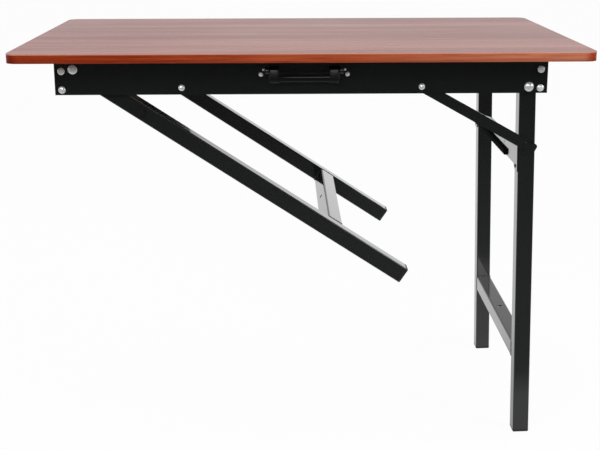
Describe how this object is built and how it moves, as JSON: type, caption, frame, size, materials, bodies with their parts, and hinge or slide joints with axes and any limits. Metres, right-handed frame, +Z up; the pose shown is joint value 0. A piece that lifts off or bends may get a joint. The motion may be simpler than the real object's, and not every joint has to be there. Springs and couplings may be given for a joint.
{
  "type": "folding camping table",
  "caption": "Rectangular wood-print tabletop on a black folded-steel frame, with two fold-flat leg sets, locking braces and a carrying handle.",
  "frame": {"origin": "on the floor, under the middle of the tabletop", "axes": "+X along the tabletop, towards the leg set that stands; +Y from the front with the handle to the back; +Z up"},
  "size_m": [1, 0.6, 0.74],
  "materials": {
    "board_core": "raw chipboard",
    "board_laminate": "glossy mahogany print",
    "board_backing": "matt brown backing",
    "board_edge": "wood-print edge band",
    "frame_paint": "gloss black paint",
    "bright_steel": "bright plated",
    "plain_steel": "zinc plated",
    "cap_plastic": "black plastic",
    "buffer_rubber": "matt black",
    "handle_plastic": "satin black"
  },
  "bodies": {
    "frame": {"tabletop_core": "board_core", "top_laminate": "board_laminate", "underside_laminate": "board_backing", "edge_band": "board_edge", "front_rail": "frame_paint", "rear_rail": "frame_paint", "left_end_rail": "frame_paint", "right_end_rail": "frame_paint", "corner_rivets": "bright_steel", "board_screws": "plain_steel", "leg_pivot_bolts": "bright_steel", "leg_pivot_spacers": "plain_steel", "leg_pivot_washers": "plain_steel", "leg_pivot_nuts": "plain_steel", "brace_rivets": "bright_steel", "brace_spacers": "plain_steel", "left_handle_bracket": "frame_paint", "right_handle_bracket": "frame_paint", "bracket_rivets": "bright_steel"},
    "left_leg_set": {"left_front_leg": "frame_paint", "left_rear_leg": "frame_paint", "left_front_foot_cap": "cap_plastic", "left_rear_foot_cap": "cap_plastic", "left_lower_stretcher": "frame_paint", "left_lock_pin": "frame_paint"},
    "right_leg_set": {"right_front_leg": "frame_paint", "right_rear_leg": "frame_paint", "right_front_foot_cap": "cap_plastic", "right_rear_foot_cap": "cap_plastic", "right_lower_stretcher": "frame_paint", "right_lock_pin": "frame_paint", "right_cross_plate": "frame_paint", "right_plate_bolts": "frame_paint", "right_buffer_strip": "buffer_rubber"},
    "left_brace": {"left_brace": "frame_paint"},
    "right_brace": {"right_brace": "frame_paint"},
    "carry_handle": {"carry_handle": "handle_plastic"}
  },
  "joints": [
    {"name": "left_leg_fold", "type": "hinge", "parent": "frame", "child": "left_leg_set", "pos_m": [-0.4, 0, 0.704], "axis": [0, 1, 0], "range_deg": [-33.4, 58.2]},
    {"name": "right_leg_fold", "type": "hinge", "parent": "frame", "child": "right_leg_set", "pos_m": [0.4, 0, 0.67], "axis": [0, 1, 0], "range_deg": [0, 24]},
    {"name": "left_brace_swing", "type": "hinge", "parent": "frame", "child": "left_brace", "pos_m": [-0.211, -0.2227, 0.671], "axis": [0, 1, 0], "range_deg": [0, 146]},
    {"name": "right_brace_swing", "type": "hinge", "parent": "frame", "child": "right_brace", "pos_m": [0.211, -0.2227, 0.671], "axis": [0, 1, 0], "range_deg": [0, 150.69]},
    {"name": "handle_swing", "type": "hinge", "parent": "frame", "child": "carry_handle", "pos_m": [0.004, -0.238, 0.702], "axis": [-1, 0, 0], "range_deg": [0, 100]}
  ],
  "couplings": [
    {"joint": "right_brace_swing", "follows": "right_leg_fold", "ratio": 6.2788}
  ]
}
